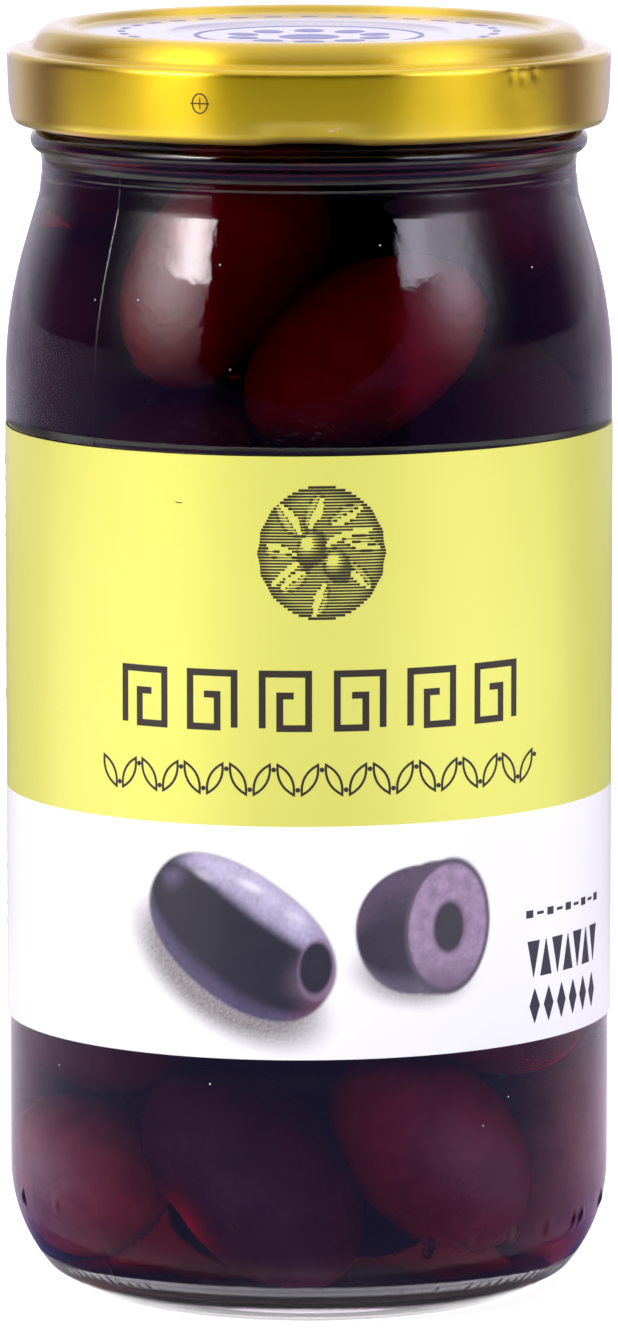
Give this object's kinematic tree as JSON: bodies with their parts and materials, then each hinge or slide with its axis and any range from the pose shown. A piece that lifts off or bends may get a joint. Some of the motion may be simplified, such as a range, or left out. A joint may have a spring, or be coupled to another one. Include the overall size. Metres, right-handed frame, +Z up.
{
  "type": "jar of olives",
  "caption": "Sealed round glass jar of whole dark olives in brine, with a gold twist-off cap and a wrap-round foil and paper label.",
  "frame": {"origin": "centre of the jar's foot, on the surface it stands on", "axes": "+Z up along the jar's axis; the front of the label faces -Y; +X is the label's right side"},
  "size_m": [0.0672, 0.0672, 0.1397],
  "materials": {
    "glass": "clear, smooth, very slightly uneven as moulded",
    "gold_cap": "gold lacquer over tinplate, semi-gloss",
    "label_paper": "lime-gold metallic field above a white field, satin",
    "olive_skin": "moist dark violet skin seen through dark red brine"
  },
  "bodies": {
    "root": {"glass_jar": "glass", "lid": "gold_cap", "label": "label_paper", "olives": "olive_skin"}
  },
  "joints": []
}
